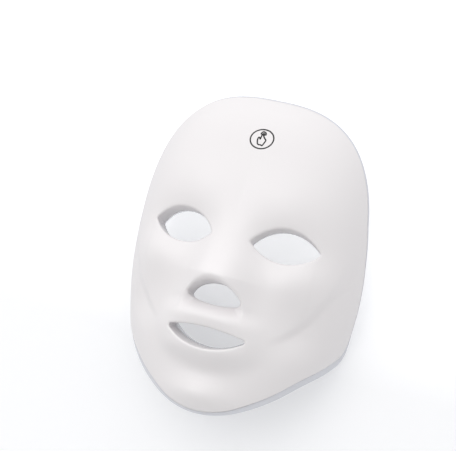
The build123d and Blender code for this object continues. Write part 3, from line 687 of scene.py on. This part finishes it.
def makeBackdrop():
    # pale sheet that keeps the mask's real shadow, with painted shade in its glow, clear when seen from
    # behind
    size, y = stage["size"], stage["wallY"]
    material, tree, shader = sheetMaterial("paleSheet", stage["wallColour"], 0.0)
    shader.inputs["Emission Color"].default_value = (*stage["glowColour"], 1)
    material.cycles.emission_sampling = "NONE"
    link = tree.links.new
    seen = tree.nodes.new("ShaderNodeLightPath").outputs["Is Camera Ray"]
    # painted shade: the glow the camera sees is weaker lower down, so the sheet reads darker through the nose
    # and mouth
    rise = mapRange(tree, objectAxes(tree).outputs["Z"], stage["paintedShadeGlow"])
    # painted bounce light: other rays see a weaker glow, which lights the mask's back and collars
    glow = mapRange(tree, seen, (0.0, 1.0, stage["paintedBounceGlow"]))
    link(rise.outputs["Result"], glow.inputs["To Max"])
    link(glow.outputs["Result"], shader.inputs["Emission Strength"])
    mix = tree.nodes.new("ShaderNodeMixShader")
    link(tree.nodes.new("ShaderNodeNewGeometry").outputs["Backfacing"], mix.inputs["Fac"])
    link(shader.outputs[0], mix.inputs[1])
    link(tree.nodes.new("ShaderNodeBsdfTransparent").outputs[0], mix.inputs[2])
    link(mix.outputs[0], tree.nodes["Material Output"].inputs["Surface"])
    stageSheet("backdrop", [(-size, y, -size), (size, y, -size), (size, y, size), (-size, y, size)], material)


def makeFloor():
    size, z = stage["size"], stage["floorZ"]
    material, tree, shader = sheetMaterial("paleFloor", stage["floorColour"], 0.1)
    stageSheet("floor", [(-size, -size, z), (size, -size, z), (size, size, z), (-size, size, z)], material)


makeBackdrop()
makeFloor()

# strength of the light from each side, level plus swing times how far that side lies towards the given one
sky = {"toward": (-0.065, 0.0, 0.998), "level": 0.745, "swing": 0.53}


def makeWorld():
    # uneven light on the object, plain white to the camera, to gloss and to clear parts
    world = bpy.data.worlds.new("studio")
    bpy.context.scene.world = world
    world.use_nodes = True
    tree = world.node_tree
    link = tree.links.new
    toward = tree.nodes.new("ShaderNodeVectorMath")
    toward.operation = "DOT_PRODUCT"
    toward.inputs[1].default_value = sky["toward"]
    link(tree.nodes.new("ShaderNodeTexCoord").outputs["Generated"], toward.inputs[0])
    level = mathNode(tree, "MULTIPLY_ADD", toward.outputs["Value"], sky["swing"], sky["level"])
    uneven = tree.nodes["Background"]
    link(level, uneven.inputs["Strength"])
    plain = tree.nodes.new("ShaderNodeBackground")
    plain.inputs["Strength"].default_value = 1.0
    for light in (uneven, plain):
        light.inputs["Color"].default_value = (1, 1, 1, 1)
    path = tree.nodes.new("ShaderNodeLightPath")
    seen = mathNode(tree, "MAXIMUM", path.outputs["Is Camera Ray"], path.outputs["Is Glossy Ray"])
    seen = mathNode(tree, "MAXIMUM", seen, path.outputs["Is Transmission Ray"])
    mix = tree.nodes.new("ShaderNodeMixShader")
    link(seen, mix.inputs["Fac"])
    link(uneven.outputs[0], mix.inputs[1])
    link(plain.outputs[0], mix.inputs[2])
    link(mix.outputs[0], tree.nodes["World Output"].inputs["Surface"])


makeWorld()

# place and size in metres; the rear lamp stands behind the backdrop and lights only the floor
lamps = {
    "keyLamp": {"at": (-0.12, -0.45, 0.06), "size": 0.45, "watts": 0.58},
    "rearLamp": {"at": (0.3, 1.2, 0.8), "size": 1.0, "watts": 6.0},
}


def makeLamp(name, at, size, watts):
    # a square lamp turned to the origin
    light = bpy.data.lights.new(name, "AREA")
    light.size = size
    light.energy = watts
    lamp = bpy.data.objects.new(name, light)
    lamp.location = at
    lamp.rotation_euler = (-lamp.location).to_track_quat("-Z", "Y").to_euler()
    bpy.context.scene.collection.objects.link(lamp)


for name, lamp in lamps.items():
    makeLamp(name, **lamp)

# angles in degrees, distance and target in metres, focal length, middle and image in pixels
view = {"azimuth": 17.1, "elevation": -3.2, "roll": 14.1, "distance": 0.972, "focal": 1575.0, "sensor": 36.0,
        "target": (0.0, -0.0069, -0.0038), "middle": (232.4, 242.6), "image": (456, 451)}


def makeCamera():
    azimuth, elevation, roll = (math.radians(view[name]) for name in ("azimuth", "elevation", "roll"))
    level = math.cos(elevation)
    back = mathutils.Vector((math.sin(azimuth) * level, -math.cos(azimuth) * level, math.sin(elevation)))
    right = mathutils.Vector((math.cos(azimuth), math.sin(azimuth), 0))
    up = back.cross(right)
    turnedRight = right * math.cos(roll) + up * math.sin(roll)
    turnedUp = -right * math.sin(roll) + up * math.cos(roll)
    wide, tall = view["image"]
    camera = bpy.data.cameras.new("camera")
    camera.sensor_fit = "HORIZONTAL"
    camera.sensor_width = view["sensor"]
    camera.lens = view["focal"] / wide * view["sensor"]
    camera.shift_x = (wide / 2 - view["middle"][0]) / wide
    camera.shift_y = (view["middle"][1] - tall / 2) / wide
    thing = bpy.data.objects.new("camera", camera)
    place = mathutils.Vector(view["target"]) + back * view["distance"]
    turn = mathutils.Matrix((turnedRight, turnedUp, back)).transposed().to_4x4()
    thing.matrix_world = mathutils.Matrix.Translation(place) @ turn
    bpy.context.scene.collection.objects.link(thing)
    bpy.context.scene.camera = thing


makeCamera()
bpy.context.scene.view_settings.view_transform = "Standard"
print("stage, light and camera set")
